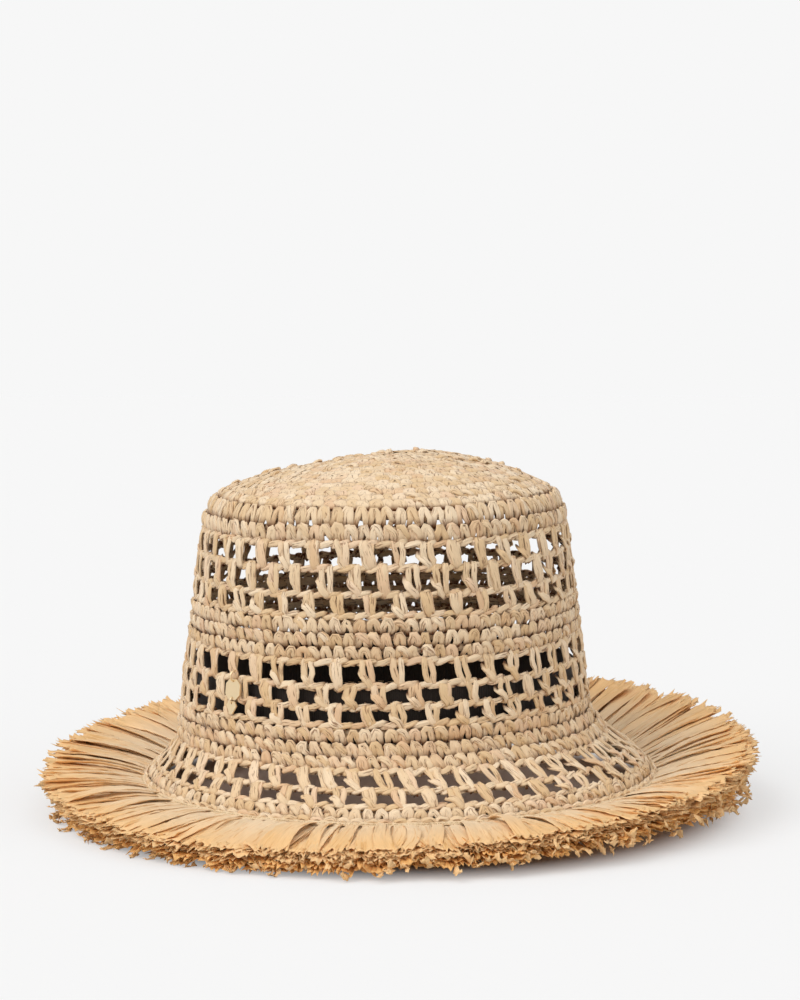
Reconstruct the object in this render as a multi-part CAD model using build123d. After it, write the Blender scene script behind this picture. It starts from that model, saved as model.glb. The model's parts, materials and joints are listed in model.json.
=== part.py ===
from build123d import *
import math
import os

# A straw sun hat, crocheted from raffia in the round, from the middle of the crown down to the
# brim, with an openwork crown, a raffia fringe sewn round the brim, a ribbon sweatband inside
# and a small metal charm on the crown. Millimetres, +Z up. The origin is on the surface the
# hat stands on, under the middle of the fringe. The front of the hat faces -Y.

# ---- driving dimensions -------------------------------------------------------------------
HAT_RADIUS = 168.0          # from the middle of the fringe to its tips
CROWN_X = -7.2              # the crown's axis stands this far off the middle of the fringe
CROWN_TOP = 166.0           # height of the middle of the crown
STRAW = 3.0                 # thickness of the crochet
HEAD_RADIUS = 88.7          # inside of the sweatband, a head of about 56 cm

TIP_EDGE_Z = 148.0          # where the crown's flat spiral ends and the shoulder begins
TIP_EDGE_RADIUS = 78.0
TIP_POWER = 2.4             # how late the spiral turns down: 2 is a parabola

CROWN_POSTS = 48            # posts in each openwork round of the crown
BRIM_POSTS = 54             # posts in each openwork round of the brim
POST_WIDTH = 4.8
BAR_HEIGHT = 2.8            # the chain that runs along the foot of an openwork round

BAND_BOTTOM = 41.0          # the sweatband, a flat ribbon
BAND_WIDTH = 28.0
BAND_THICKNESS = 0.7
BAND_STITCHES = 48
THREAD_RADIUS = 0.3

TUFTS = 48                  # bundles of ribbon in each layer of the fringe
TUFT_GAP_DEGREES = 0.4
LAYER_THICKNESS = 1.8
FRINGE_ROOT_RADIUS = 113.5  # the fringe's sewn end lies under the edge of the brim
UNDER_TIP_RADIUS = 163.0    # the under layer is the shorter one, and the hat stands on it
FRONT_TIP_Z = 4.6           # top of the upper layer's tips at the front
BACK_TIP_RISE = 33.0        # how much higher the tips curl at the back
HIGHEST_TIP_ANGLE = 78.0    # where they are highest, behind and a little to the wearer's left

TAPE_WIDTH = 4.1
TAPE_THICKNESS = 0.7
TAPE_DROP = 2.0             # how far the tape's outer edge lies below its inner edge

CHARM_ANGLE = -135.0        # degrees round the crown's axis from +X: the wearer's front left
CHARM_OFF_WALL = 1.7        # from the crochet to the middle of the plates
CHARM_ABOVE_SEAM = 1.7      # its jump ring goes round the foot chain of lower_mesh_round_1
WIRE_RADIUS = 0.35
RING_RADIUS = 2.3
PLATE_WIDTH = 9.4
PLATE_HEIGHT = 9.2
PLATE_THICKNESS = 0.7
LINK_RADIUS = 1.25
LINK_WIRE_RADIUS = 0.25
DROP_WIDTH = 6.6
DROP_HEIGHT = 5.6
HOLE_EDGE = 0.9             # from a charm plate's edge to the middle of its hole
HOLE_CLEARANCE = 0.2        # round a wire in its hole

# Every round of crochet below the crown's spiral, from the top down: its name, the height and
# the outer radius of its lower edge, and how far that edge has drifted from the crown's axis.
ROUNDS = [
    ("shoulder_round_1", 140.5, 83.3, 0.0),
    ("shoulder_round_2", 130.5, 85.1, 0.0),
    ("upper_mesh_round_1", 120.0, 86.6, 0.0),
    ("upper_mesh_round_2", 108.5, 87.8, 0.0),
    ("upper_mesh_round_3", 99.5, 88.9, 0.0),
    ("middle_round_1", 93.5, 89.7, 0.0),
    ("middle_round_2", 87.5, 90.4, 0.0),
    ("middle_round_3", 79.5, 91.3, 0.0),
    ("lower_mesh_round_1", 69.0, 92.6, 0.0),
    ("lower_mesh_round_2", 60.0, 93.7, 0.0),
    ("lower_mesh_round_3", 52.0, 94.7, 0.0),
    ("base_round_1", 46.0, 95.5, 0.0),
    ("base_round_2", 40.0, 97.2, 1.7),
    ("base_round_3", 33.0, 101.6, 4.4),
    ("brim_mesh_round_1", 26.5, 109.0, 7.0),
    ("brim_mesh_round_2", 20.5, 115.0, 7.4),
    ("brim_edge_round", 16.0, 118.3, 7.2),
]

# Two openwork rounds one above the other have their posts half a step apart.
SHIFTED_ROUNDS = ("upper_mesh_round_2", "lower_mesh_round_2", "brim_mesh_round_2")


# ---- helpers ------------------------------------------------------------------------------
def save(shape, node):
    """Writes one node's STEP file."""
    shape.label = node
    export_step(shape, f"parts/{node}.step")


def seam(index):
    """(height, outer radius, inner radius, x) of the lower edge of a round; -1 is the tip's."""
    edges = [("", TIP_EDGE_Z, TIP_EDGE_RADIUS, 0.0)] + ROUNDS
    here = edges[index + 1]
    before = edges[max(index, 0)]
    after = edges[min(index + 2, len(edges) - 1)]
    fall = before[1] - after[1]
    spread = after[2] - before[2]
    across = STRAW * math.hypot(fall, spread) / fall
    return here[1], here[2], here[2] - across, CROWN_X + here[3]


def frustum(low, high, x_low, x_high, r_low, r_high):
    """A solid cone slice between two level circles, which may have different middles."""
    if x_low == x_high:
        slice_height = high - low
        at = Pos(x_low, 0, low)
        return at * Cone(r_low, r_high, slice_height, align=(Align.CENTER, Align.CENTER, Align.MIN))
    bottom = Pos(x_low, 0, low) * Circle(r_low)
    top = Pos(x_high, 0, high) * Circle(r_high)
    return loft([bottom, top], ruled=True)


def crochet_ring(index):
    """The solid ring of one round, between its own lower edge and that of the round above."""
    high, outer_high, inner_high, x_high = seam(index - 1)
    low, outer_low, inner_low, x_low = seam(index)
    outside = frustum(low, high, x_low, x_high, outer_low, outer_high)
    inside = frustum(low, high, x_low, x_high, inner_low, inner_high)
    return outside - inside


def open_windows(ring, index, posts, shifted):
    """Cuts the windows between a round's posts, and leaves the chain along its foot."""
    high, outer_high, _, x_high = seam(index - 1)
    low, outer_low, _, x_low = seam(index)
    radius = (outer_high + outer_low) / 2
    step = 360 / posts
    gap = 2 * math.pi * (radius - STRAW / 2) / posts - POST_WIDTH
    sill = low + BAR_HEIGHT
    lintel = high + 1.0
    middle = Pos((x_high + x_low) / 2, 0, (sill + lintel) / 2)
    first = 0.0 if shifted else step / 2
    window = Box(8 * STRAW, gap, lintel - sill)
    return ring - [middle * Rot(0, 0, first + i * step) * Pos(radius, 0, 0) * window for i in range(posts)]


def spun(points, x):
    """A ring made by turning a closed outline of (radius, height) points about a vertical axis."""
    outline = Polyline([(r, 0, z) for r, z in points], close=True)
    return Pos(x, 0, 0) * revolve(make_face(outline), Axis.Z)


# ---- crochet ------------------------------------------------------------------------------
def crown_tip():
    """The flat spiral at the top of the crown: a shallow dome that turns down at its edge."""
    low, outer, inner, x = seam(-1)
    shares = [0.0, 0.3, 0.55, 0.75, 0.9, 1.0]

    def dome(radius, top):
        return [(radius * s, 0, top - (top - low) * s**TIP_POWER) for s in shares]

    over = dome(outer, CROWN_TOP)
    under = dome(inner, CROWN_TOP - STRAW)
    outline = [
        Spline(over),
        Line(over[-1], under[-1]),
        Spline(under),
        Line(under[0], over[0]),
    ]
    return Pos(x, 0, 0) * revolve(make_face(outline), Axis.Z)


def crochet_rounds():
    """Every round below the tip, by name."""
    rounds = {}
    for index, (name, *_) in enumerate(ROUNDS):
        ring = crochet_ring(index)
        if "mesh" in name:
            posts = BRIM_POSTS if name.startswith("brim") else CROWN_POSTS
            ring = open_windows(ring, index, posts, name in SHIFTED_ROUNDS)
        rounds[name] = ring
    return rounds


# ---- fringe -------------------------------------------------------------------------------
def tuft(side_view, angle):
    """One bundle of ribbons: its side view, widened about the hat's middle to its share of it."""
    half = (360 / TUFTS - TUFT_GAP_DEGREES) / 2
    outline = Polyline([(r, 0, z) for r, z in side_view], close=True)
    face = make_face(outline)
    return loft([Rot(0, 0, angle - half) * face, Rot(0, 0, angle + half) * face], ruled=True)


def tip_height(angle):
    """Top of the upper layer's tips: low at the front, curling up towards the back."""
    towards_back = (1 + math.cos(math.radians(angle - HIGHEST_TIP_ANGLE))) / 2
    return FRONT_TIP_Z + BACK_TIP_RISE * towards_back**1.1


def fringe_top_layer():
    """The upper layer, which leaves the brim under the tape."""
    root = seam(len(ROUNDS) - 1)[0] - 0.2
    bend_radius, bend = tape_outer_edge()
    bend -= TAPE_THICKNESS + 0.2
    tufts = []
    for i in range(TUFTS):
        angle = i * 360 / TUFTS
        tip = tip_height(angle)
        side_view = [
            (FRINGE_ROOT_RADIUS, root),
            (bend_radius - TAPE_WIDTH, root - 0.1),
            (bend_radius, bend),
            (HAT_RADIUS, tip),
            (HAT_RADIUS, tip - LAYER_THICKNESS),
            (bend_radius, bend - LAYER_THICKNESS),
            (FRINGE_ROOT_RADIUS, root - LAYER_THICKNESS - 0.4),
        ]
        tufts.append(tuft(side_view, angle))
    return Compound(children=tufts)


def fringe_under_layer():
    """The lower layer, whose ends lie on the surface that the hat stands on."""
    root = seam(len(ROUNDS) - 1)[0] - 0.2 - LAYER_THICKNESS - 0.6
    bend_radius, bend = tape_outer_edge()
    bend -= TAPE_THICKNESS + 0.2 + LAYER_THICKNESS + 0.2
    flat_from = UNDER_TIP_RADIUS - 10.0
    side_view = [
        (FRINGE_ROOT_RADIUS, root),
        (bend_radius, bend),
        (UNDER_TIP_RADIUS, LAYER_THICKNESS + 0.4),
        (UNDER_TIP_RADIUS, -1.0),
        (flat_from, -1.0),
        (bend_radius, bend - LAYER_THICKNESS),
        (FRINGE_ROOT_RADIUS, root - LAYER_THICKNESS),
    ]
    whole = [tuft(side_view, (i + 0.5) * 360 / TUFTS) for i in range(TUFTS)]
    ground = Box(3 * HAT_RADIUS, 3 * HAT_RADIUS, 10.0, align=(Align.CENTER, Align.CENTER, Align.MAX))
    return Compound(children=[tuft_above - ground for tuft_above in whole])


def tape_outer_edge():
    """(radius, height) of the top of the tape's outer edge."""
    low, outer, _, _ = seam(len(ROUNDS) - 1)
    return outer + 0.1 + TAPE_WIDTH, low + 0.6 - TAPE_DROP


def fringe_tape():
    """The narrow woven tape that holds the ribbons' ends, sewn over the edge of the brim."""
    radius, height = tape_outer_edge()
    inner = radius - TAPE_WIDTH
    section = [
        (inner, height + TAPE_DROP),
        (radius, height),
        (radius, height - TAPE_THICKNESS),
        (inner, height + TAPE_DROP - TAPE_THICKNESS),
    ]
    return spun(section, 0.0)


def fringe_seam(share):
    """A row of thread along the tape, at this share of the tape's width from its inner edge."""
    radius, height = tape_outer_edge()
    at = radius - TAPE_WIDTH * (1 - share)
    on_top = height + TAPE_DROP * (1 - share) + THREAD_RADIUS + 0.05
    return Pos(0, 0, on_top) * Torus(at, THREAD_RADIUS)


# ---- sweatband ----------------------------------------------------------------------------
def sweatband():
    """A ribbon standing inside the crown, above the root of the brim."""
    upright = (Align.CENTER, Align.CENTER, Align.MIN)
    ribbon = Cylinder(HEAD_RADIUS + BAND_THICKNESS, BAND_WIDTH, align=upright)
    opening = Cylinder(HEAD_RADIUS, BAND_WIDTH, align=upright)
    return Pos(CROWN_X, 0, BAND_BOTTOM) * (ribbon - opening)


def sweatband_stitching():
    """The stitches between the ribbon's outer face and the crochet, near its lower edge."""
    height = 48.0
    start = HEAD_RADIUS + BAND_THICKNESS + 0.02
    end = seam_radius_at(height) - 0.05
    length = end - start
    stitch = Rot(0, 90, 0) * Cylinder(THREAD_RADIUS, length)
    places = [
        Pos(CROWN_X, 0, height) * Rot(0, 0, (i + 0.5) * 360 / BAND_STITCHES) * Pos(start + length / 2, 0, 0)
        for i in range(BAND_STITCHES)
    ]
    return Compound(children=[place * stitch for place in places])


def seam_radius_at(height):
    """The crochet's inner radius at a height on the crown's wall."""
    index = next(i for i, r in enumerate(ROUNDS) if r[1] <= height)
    high, _, inner_high, _ = seam(index - 1)
    low, _, inner_low, _ = seam(index)
    share = (height - low) / (high - low)
    return inner_low + (inner_high - inner_low) * share


# ---- charm --------------------------------------------------------------------------------
def charm_frame():
    """The charm's own frame at the jump ring's middle: x out of the wall, z up along it."""
    index = [r[0] for r in ROUNDS].index("lower_mesh_round_2")
    high, outer_high, _, _ = seam(index - 1)
    low, outer_low, _, _ = seam(index)
    lean = math.degrees(math.atan2(outer_low - outer_high, high - low))
    middle = Pos(outer_high + CHARM_OFF_WALL, 0, high + CHARM_ABOVE_SEAM)
    return Pos(CROWN_X, 0, 0) * Rot(0, 0, CHARM_ANGLE) * middle * Rot(0, -lean, 0)


def upright_ring(radius, wire):
    """A wire ring standing in the plane through the crown's axis."""
    return Rot(90, 0, 0) * Torus(radius, wire)


def hole_through(wire):
    """The cutter for a wire's hole, along x."""
    return Rot(0, 90, 0) * Cylinder(wire + HOLE_CLEARANCE, 4 * PLATE_THICKNESS)


def charm_plate():
    """A plain plate with cut corners, hung on the jump ring."""
    top = -RING_RADIUS + HOLE_EDGE
    outline = chamfer(Rectangle(PLATE_WIDTH, PLATE_HEIGHT).vertices(), PLATE_WIDTH / 4)
    blank = extrude(Plane.YZ * outline, PLATE_THICKNESS / 2, both=True)
    plate = Pos(0, 0, top - PLATE_HEIGHT / 2) * blank
    plate -= Pos(0, 0, -RING_RADIUS) * hole_through(WIRE_RADIUS)
    plate -= Pos(0, 0, top - PLATE_HEIGHT + HOLE_EDGE) * hole_through(LINK_WIRE_RADIUS)
    return plate


def link_height():
    """The small link's middle, below the jump ring's middle."""
    return -RING_RADIUS + HOLE_EDGE - PLATE_HEIGHT + HOLE_EDGE - LINK_RADIUS


def charm_drop():
    """A smaller plate under the first, narrowing downwards, hung on the link."""
    hole = link_height() - LINK_RADIUS
    top = hole + HOLE_EDGE
    shoulder = top - DROP_HEIGHT * 0.35
    foot = top - DROP_HEIGHT
    side = DROP_WIDTH / 2
    corners = [
        (-side * 0.55, top),
        (side * 0.55, top),
        (side, shoulder),
        (side * 0.3, foot),
        (-side * 0.3, foot),
        (-side, shoulder),
    ]
    outline = make_face(Polyline([(0, y, z) for y, z in corners], close=True))
    drop = extrude(outline, PLATE_THICKNESS / 2, dir=(1, 0, 0), both=True)
    return drop - Pos(0, 0, hole) * hole_through(LINK_WIRE_RADIUS)


def ring_slot():
    """The room that the jump ring needs in the crochet it is threaded through."""
    return charm_frame() * upright_ring(RING_RADIUS, WIRE_RADIUS + HOLE_CLEARANCE)


# ---- the hat ------------------------------------------------------------------------------
def main():
    os.makedirs("parts", exist_ok=True)
    save(crown_tip(), "crown_tip")
    rounds = crochet_rounds()
    rounds["lower_mesh_round_1"] -= ring_slot()
    for name, ring in rounds.items():
        save(ring, name)
    save(fringe_tape(), "fringe_tape")
    save(fringe_seam(0.2), "fringe_seam_inner")
    save(fringe_seam(0.8), "fringe_seam_outer")
    save(fringe_top_layer(), "fringe_top_layer")
    save(fringe_under_layer(), "fringe_under_layer")
    save(sweatband(), "sweatband")
    save(sweatband_stitching(), "sweatband_stitching")
    at = charm_frame()
    save(at * upright_ring(RING_RADIUS, WIRE_RADIUS), "charm_ring")
    save(at * charm_plate(), "charm_plate")
    save(at * Pos(0, 0, link_height()) * upright_ring(LINK_RADIUS, LINK_WIRE_RADIUS), "charm_link")
    save(at * charm_drop(), "charm_drop")
    middle = at.position
    link = (at * Pos(0, 0, link_height())).position
    print("charm ring middle", [round(v, 3) for v in middle])
    print("charm link middle", [round(v, 3) for v in link])
    print("charm out of the wall", [round(v, 5) for v in (at * Pos(1, 0, 0)).position - middle])
    print("charm sideways", [round(v, 5) for v in (at * Pos(0, 1, 0)).position - middle])


main()
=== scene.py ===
import json
import math

import bpy
import numpy as np
from bpy.props import FloatProperty, FloatVectorProperty, IntProperty, PointerProperty
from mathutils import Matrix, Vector


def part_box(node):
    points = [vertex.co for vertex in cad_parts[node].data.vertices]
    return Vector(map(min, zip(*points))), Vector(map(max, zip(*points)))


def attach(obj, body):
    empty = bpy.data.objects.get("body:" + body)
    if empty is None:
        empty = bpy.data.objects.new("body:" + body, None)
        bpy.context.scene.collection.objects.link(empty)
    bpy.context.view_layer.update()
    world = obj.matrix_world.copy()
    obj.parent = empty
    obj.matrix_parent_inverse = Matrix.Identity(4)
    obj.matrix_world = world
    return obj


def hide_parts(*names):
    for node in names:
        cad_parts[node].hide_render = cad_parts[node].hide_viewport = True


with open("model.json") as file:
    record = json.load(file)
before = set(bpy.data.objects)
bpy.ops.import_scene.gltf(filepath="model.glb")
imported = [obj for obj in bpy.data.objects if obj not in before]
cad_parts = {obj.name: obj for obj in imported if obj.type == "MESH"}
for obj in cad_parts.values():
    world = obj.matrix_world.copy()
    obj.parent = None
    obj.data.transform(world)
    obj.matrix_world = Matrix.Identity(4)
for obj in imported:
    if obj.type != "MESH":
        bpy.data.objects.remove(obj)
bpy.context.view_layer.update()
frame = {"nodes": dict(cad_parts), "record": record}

bl_info = {
    "name": "Straw Sun Hat",
    "version": (1, 0, 0),
    "blender": (4, 5, 0),
    "location": "3D View > Sidebar > Sun Hat",
    "description": "Crochets a raffia sun hat round its CAD frame, with fringe, sweatband and charm",
    "category": "Object",
}

MM = 0.001
ROUNDS = [p["node"] for p in frame["record"]["subparts"] if p["material_slot"] == "crocheted_raffia"]
TIP_POWER = 2.4             # how late the crown's flat spiral turns down
HEM = "brim_edge_round"
TONE_STEPS = 16             # steps of the tone that picks out the rosy strands
RIBBON_LENGTH = 50.0        # mm from the tape to a ribbon's tip
SEEDS = {"crown_tip": 11, "fringe": 20, "tape": 31, "sweatband": 41, "flakes": 43, "rounds": 100}
COLOUR_MIX = {"data_type": "RGBA"}
COLOUR_MULTIPLY = {"data_type": "RGBA", "blend_type": "MULTIPLY"}
SMOOTH = {"interpolation_type": "SMOOTHSTEP"}


# ---- colours and materials ------------------------------------------------------------------
def linear(hex_colour):
    """An sRGB hex colour as the linear red, green, blue and alpha that shaders take."""
    parts = [int(hex_colour[i:i + 2], 16) / 255 for i in (1, 3, 5)]
    return tuple(c / 12.92 if c <= 0.04045 else ((c + 0.055) / 1.055) ** 2.4 for c in parts) + (1.0,)


def add(tree, kind, settings=None, **inputs):
    """Adds a node with its settings, and sets or links its inputs. An input goes by its name, with _
    for a space, or by n and its number."""
    node = tree.nodes.new(kind)
    for key, value in (settings or {}).items():
        setattr(node, key, value)
    for key, value in inputs.items():
        name = key.replace("_", " ")
        socket = node.inputs[int(name[1:])] if name[0] == "n" and name[1:].isdigit() else node.inputs[name]
        if isinstance(value, bpy.types.NodeSocket):
            tree.links.new(value, socket)
        else:
            socket.default_value = value
    return node


def new_material(name):
    """An empty node material and its tree."""
    material = bpy.data.materials.new(name)
    material.use_nodes = True
    material.node_tree.nodes.clear()
    return material, material.node_tree


def wave_scale(pitch_mm):
    """The Scale that puts a wave texture's bands pitch_mm apart, when its coordinates are in mm."""
    return 2 * math.pi / (20 * pitch_mm)


def fibre_streaks(tree, across_mm, along_mm):
    """Noise drawn out along the strands: fibres across_mm wide and along_mm long."""
    coordinates = add(tree, "ShaderNodeUVMap", {"uv_map": "fibre"})
    scaled = add(tree, "ShaderNodeMapping", Vector=coordinates.outputs[0],
                 Scale=(1 / across_mm, 1 / along_mm, 1.0))
    noise = add(tree, "ShaderNodeTexNoise", Vector=scaled.outputs[0], Scale=1.0, Detail=3.0, Roughness=0.6)
    return noise.outputs[0]


def fibrous(tree, colour, crease_shade_colour, creases, crease_range, deepest_shade, fibres, shades):
    """A colour with painted shade in its lengthwise creases and finer light and dark fibres, and those
    fibres' pattern. creases and fibres are the two sizes for fibre_streaks."""
    # Painted shade: the crease colour is mixed in, up to a given strength, where the crease noise is deep.
    folds = add(tree, "ShaderNodeMapRange", SMOOTH, Value=fibre_streaks(tree, *creases),
                From_Min=crease_range[0], From_Max=crease_range[1], To_Max=deepest_shade)
    creased = add(tree, "ShaderNodeMix", COLOUR_MIX, n0=folds.outputs[0], n6=colour, n7=crease_shade_colour)
    streaks = fibre_streaks(tree, *fibres)
    shade = add(tree, "ShaderNodeMapRange", Value=streaks, To_Min=shades[0], To_Max=shades[1])
    grey = add(tree, "ShaderNodeCombineColor", Red=shade.outputs[0], Green=shade.outputs[0],
               Blue=shade.outputs[0])
    shaded = add(tree, "ShaderNodeMix", COLOUR_MULTIPLY, n0=1.0, n6=creased.outputs[2], n7=grey.outputs[0])
    return shaded.outputs[2], streaks


def paper_raffia(settings):
    """Twisted paper raffia: each strand has its own tone, from straw to tan and now and then rosy, with fine
    lengthwise creases, painted shade towards each strand's ends where it goes under others and in the
    creases, and a dull surface that only shines a little on the folds."""
    material, tree = new_material("paper_raffia_crocheted")
    strand = add(tree, "ShaderNodeUVMap", {"uv_map": "strand"})
    tone = add(tree, "ShaderNodeSeparateXYZ", Vector=strand.outputs[0])
    straw = add(tree, "ShaderNodeMix", COLOUR_MIX, n0=tone.outputs[0],
                n6=settings.straw_light[:], n7=settings.straw_dark[:])
    rosy = add(tree, "ShaderNodeMapRange", Value=tone.outputs[1], From_Min=11.0, From_Max=TONE_STEPS,
               To_Max=0.5)
    tinted = add(tree, "ShaderNodeMix", COLOUR_MIX, n0=rosy.outputs[0],
                 n6=straw.outputs[2], n7=settings.straw_rosy[:])
    # Painted shade: each strand is darkened towards both its ends, where it goes under other strands.
    along = add(tree, "ShaderNodeMath", {"operation": "FRACT"}, n0=tone.outputs[1])
    from_end = add(tree, "ShaderNodeMath", {"operation": "PINGPONG"}, n0=along.outputs[0], n1=0.5)
    end_shade_mask = add(tree, "ShaderNodeMapRange", SMOOTH, Value=from_end.outputs[0],
                 From_Min=0.02, From_Max=0.26, To_Min=1.0, To_Max=0.0)
    end_shaded = add(tree, "ShaderNodeMix", COLOUR_MIX, n0=end_shade_mask.outputs[0],
                    n6=tinted.outputs[2], n7=settings.straw_painted_shade[:])
    colour, streaks = fibrous(tree, end_shaded.outputs[2], settings.straw_painted_shade[:], creases=(0.75, 8.0),
                              crease_range=(0.45, 0.34), deepest_shade=0.75, fibres=(0.35, 7.0),
                              shades=(0.8, 1.15))
    creases = fibre_streaks(tree, 1.2, 4.0)
    heights = add(tree, "ShaderNodeMath", {"operation": "MULTIPLY_ADD"}, n0=creases, n1=3.0, n2=streaks)
    bump = add(tree, "ShaderNodeBump", Strength=0.6, Distance=0.18 * MM, Height=heights.outputs[0])
    shader = add(tree, "ShaderNodeBsdfPrincipled", Base_Color=colour, Roughness=0.62, IOR=1.45,
                 Normal=bump.outputs[0], Sheen_Weight=0.2, Sheen_Roughness=0.4)
    add(tree, "ShaderNodeOutputMaterial", Surface=shader.outputs[0])
    return material


def raffia_ribbon(settings, name, root, tip):
    """Pleated raffia ribbon: thin and papery, pale where it is sewn and painted a deeper gold towards its
    frayed end, for the shade and the light through the layers there, with painted shade in its folds and long
    fibres that catch the light in streaks. Light that comes through it is golden."""
    material, tree = new_material(name)
    coordinates = add(tree, "ShaderNodeUVMap", {"uv_map": "fibre"})
    place = add(tree, "ShaderNodeSeparateXYZ", Vector=coordinates.outputs[0])
    strand = add(tree, "ShaderNodeUVMap", {"uv_map": "strand"})
    tone = add(tree, "ShaderNodeSeparateXYZ", Vector=strand.outputs[0])
    length_mm = 1000 * settings.fringe_length
    # Painted shade and glow: the colour turns a deeper gold towards the tip, standing in for the shade and
    # the light through the layers there.
    tipward_shade = add(tree, "ShaderNodeMapRange", SMOOTH, Value=place.outputs[1],
                      From_Min=0.1 * length_mm, From_Max=1.1 * length_mm)
    own = add(tree, "ShaderNodeMath", {"operation": "MULTIPLY_ADD", "use_clamp": True},
              n0=tone.outputs[0], n1=0.55, n2=-0.2)
    share = add(tree, "ShaderNodeMath", {"operation": "ADD", "use_clamp": True},
                n0=tipward_shade.outputs[0], n1=own.outputs[0])
    gold = add(tree, "ShaderNodeMix", COLOUR_MIX, n0=share.outputs[0], n6=root[:], n7=tip[:])
    colour, streaks = fibrous(tree, gold.outputs[2], settings.ribbon_fold_shade[:], creases=(1.1, 26.0),
                              crease_range=(0.46, 0.34), deepest_shade=0.6, fibres=(0.45, 12.0),
                              shades=(0.88, 1.15))
    bump = add(tree, "ShaderNodeBump", Strength=0.4, Distance=0.15 * MM, Height=streaks)
    shader = add(tree, "ShaderNodeBsdfPrincipled", Base_Color=colour, Roughness=0.55, IOR=1.45,
                 Normal=bump.outputs[0])
    through = add(tree, "ShaderNodeBsdfTranslucent", Color=colour, Normal=bump.outputs[0])
    papery = add(tree, "ShaderNodeMixShader", n0=0.18, n1=shader.outputs[0], n2=through.outputs[0])
    add(tree, "ShaderNodeOutputMaterial", Surface=papery.outputs[0])
    return material


def grosgrain(settings):
    """Woven black grosgrain: dull ribs 0.9 mm apart that run up the ribbon."""
    material, tree = new_material("black_grosgrain_woven")
    coordinates = add(tree, "ShaderNodeUVMap", {"uv_map": "fibre"})
    ribs = add(tree, "ShaderNodeTexWave", {"wave_type": "BANDS", "bands_direction": "X"},
               Vector=coordinates.outputs[0], Scale=wave_scale(0.9), Distortion=0.4)
    colour = add(tree, "ShaderNodeMix", COLOUR_MIX, n0=ribs.outputs[1],
                 n6=settings.ribbon_black[:], n7=linear("#2B2017"))
    bump = add(tree, "ShaderNodeBump", Strength=0.6, Distance=0.2 * MM, Height=ribs.outputs[1])
    shader = add(tree, "ShaderNodeBsdfPrincipled", Base_Color=colour.outputs[2], Roughness=0.8, IOR=1.5,
                 Normal=bump.outputs[0], Sheen_Weight=0.25)
    add(tree, "ShaderNodeOutputMaterial", Surface=shader.outputs[0])
    return material


def woven_tape(settings):
    """Narrow cotton tape in plain weave, threads 0.4 mm apart: dull, and as pale as the palest straw."""
    material, tree = new_material("cotton_tape_woven")
    coordinates = add(tree, "ShaderNodeUVMap", {"uv_map": "fibre"})
    warp, weft = (add(tree, "ShaderNodeTexWave", {"bands_direction": way}, Vector=coordinates.outputs[0],
                      Scale=wave_scale(0.4)) for way in "XY")
    weave = add(tree, "ShaderNodeMath", {"operation": "MULTIPLY"}, n0=warp.outputs[1], n1=weft.outputs[1])
    colour = add(tree, "ShaderNodeMix", COLOUR_MIX, n0=weave.outputs[0],
                 n6=linear("#D9BE97"), n7=settings.tape_cream[:])
    bump = add(tree, "ShaderNodeBump", Strength=0.4, Distance=0.1 * MM, Height=weave.outputs[0])
    shader = add(tree, "ShaderNodeBsdfPrincipled", Base_Color=colour.outputs[2], Roughness=0.8, IOR=1.5,
                 Normal=bump.outputs[0])
    add(tree, "ShaderNodeOutputMaterial", Surface=shader.outputs[0])
    return material


def sewing_thread(settings):
    """Spun polyester sewing thread, a little glossier than the tape, with its twist 0.5 mm apart."""
    material, tree = new_material("polyester_thread_spun")
    coordinates = add(tree, "ShaderNodeUVMap", {"uv_map": "fibre"})
    twist = add(tree, "ShaderNodeTexWave", {"bands_direction": "DIAGONAL"}, Vector=coordinates.outputs[0],
                Scale=wave_scale(0.5))
    colour = add(tree, "ShaderNodeMix", COLOUR_MIX, n0=twist.outputs[1],
                 n6=linear("#B99A6E"), n7=settings.thread_beige[:])
    bump = add(tree, "ShaderNodeBump", Strength=0.5, Distance=0.08 * MM, Height=twist.outputs[1])
    shader = add(tree, "ShaderNodeBsdfPrincipled", Base_Color=colour.outputs[2], Roughness=0.5, IOR=1.53,
                 Normal=bump.outputs[0])
    add(tree, "ShaderNodeOutputMaterial", Surface=shader.outputs[0])
    return material


def gold_plate(settings):
    """Brass stamped from sheet, tumbled and gold plated: pale, soft reflections with faint marks,
    drawn about a millimetre across, because the real ones are too fine to show."""
    material, tree = new_material("brass_gold_plated")
    coordinates = add(tree, "ShaderNodeTexCoord")
    marks = add(tree, "ShaderNodeTexNoise", Vector=coordinates.outputs["Object"], Scale=900.0, Detail=4.0)
    rough = add(tree, "ShaderNodeMapRange", Value=marks.outputs[0], To_Min=0.4, To_Max=0.55)
    bump = add(tree, "ShaderNodeBump", Strength=0.12, Distance=0.05 * MM, Height=marks.outputs[0])
    shader = add(tree, "ShaderNodeBsdfPrincipled", Base_Color=settings.gold[:], Metallic=1.0,
                 Roughness=rough.outputs[0], Normal=bump.outputs[0])
    add(tree, "ShaderNodeOutputMaterial", Surface=shader.outputs[0])
    return material


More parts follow.
